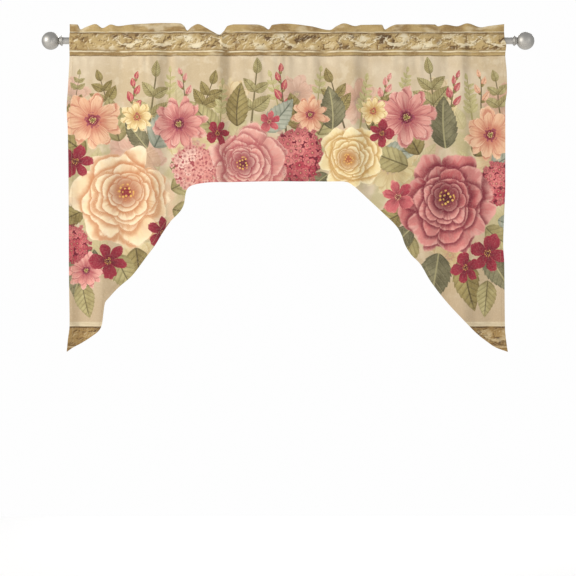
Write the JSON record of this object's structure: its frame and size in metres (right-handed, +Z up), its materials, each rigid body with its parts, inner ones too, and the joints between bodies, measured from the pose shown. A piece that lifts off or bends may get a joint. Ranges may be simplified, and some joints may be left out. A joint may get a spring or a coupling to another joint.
{
  "type": "swag and tail drape on a curtain rod",
  "caption": "Printed swag-and-tail valance with an arched lower edge and two pointed tails, hung by its ruffled rod pocket on a plain round rod with ball finials.",
  "frame": {"origin": "on the rod's axis, halfway along the rod", "axes": "+X along the rod to the viewer's right, +Y from the printed face towards the wall, +Z up"},
  "size_m": [1.373, 0.05, 0.916],
  "materials": {
    "cloth": "matt plain-weave polyester, floral print on beige with a gilt border",
    "rod_metal": "brushed nickel, satin",
    "finial_metal": "brushed nickel, satin"
  },
  "bodies": {
    "root": {"drape": "cloth", "rod": "rod_metal", "finial_left": "finial_metal", "finial_right": "finial_metal"}
  },
  "joints": []
}
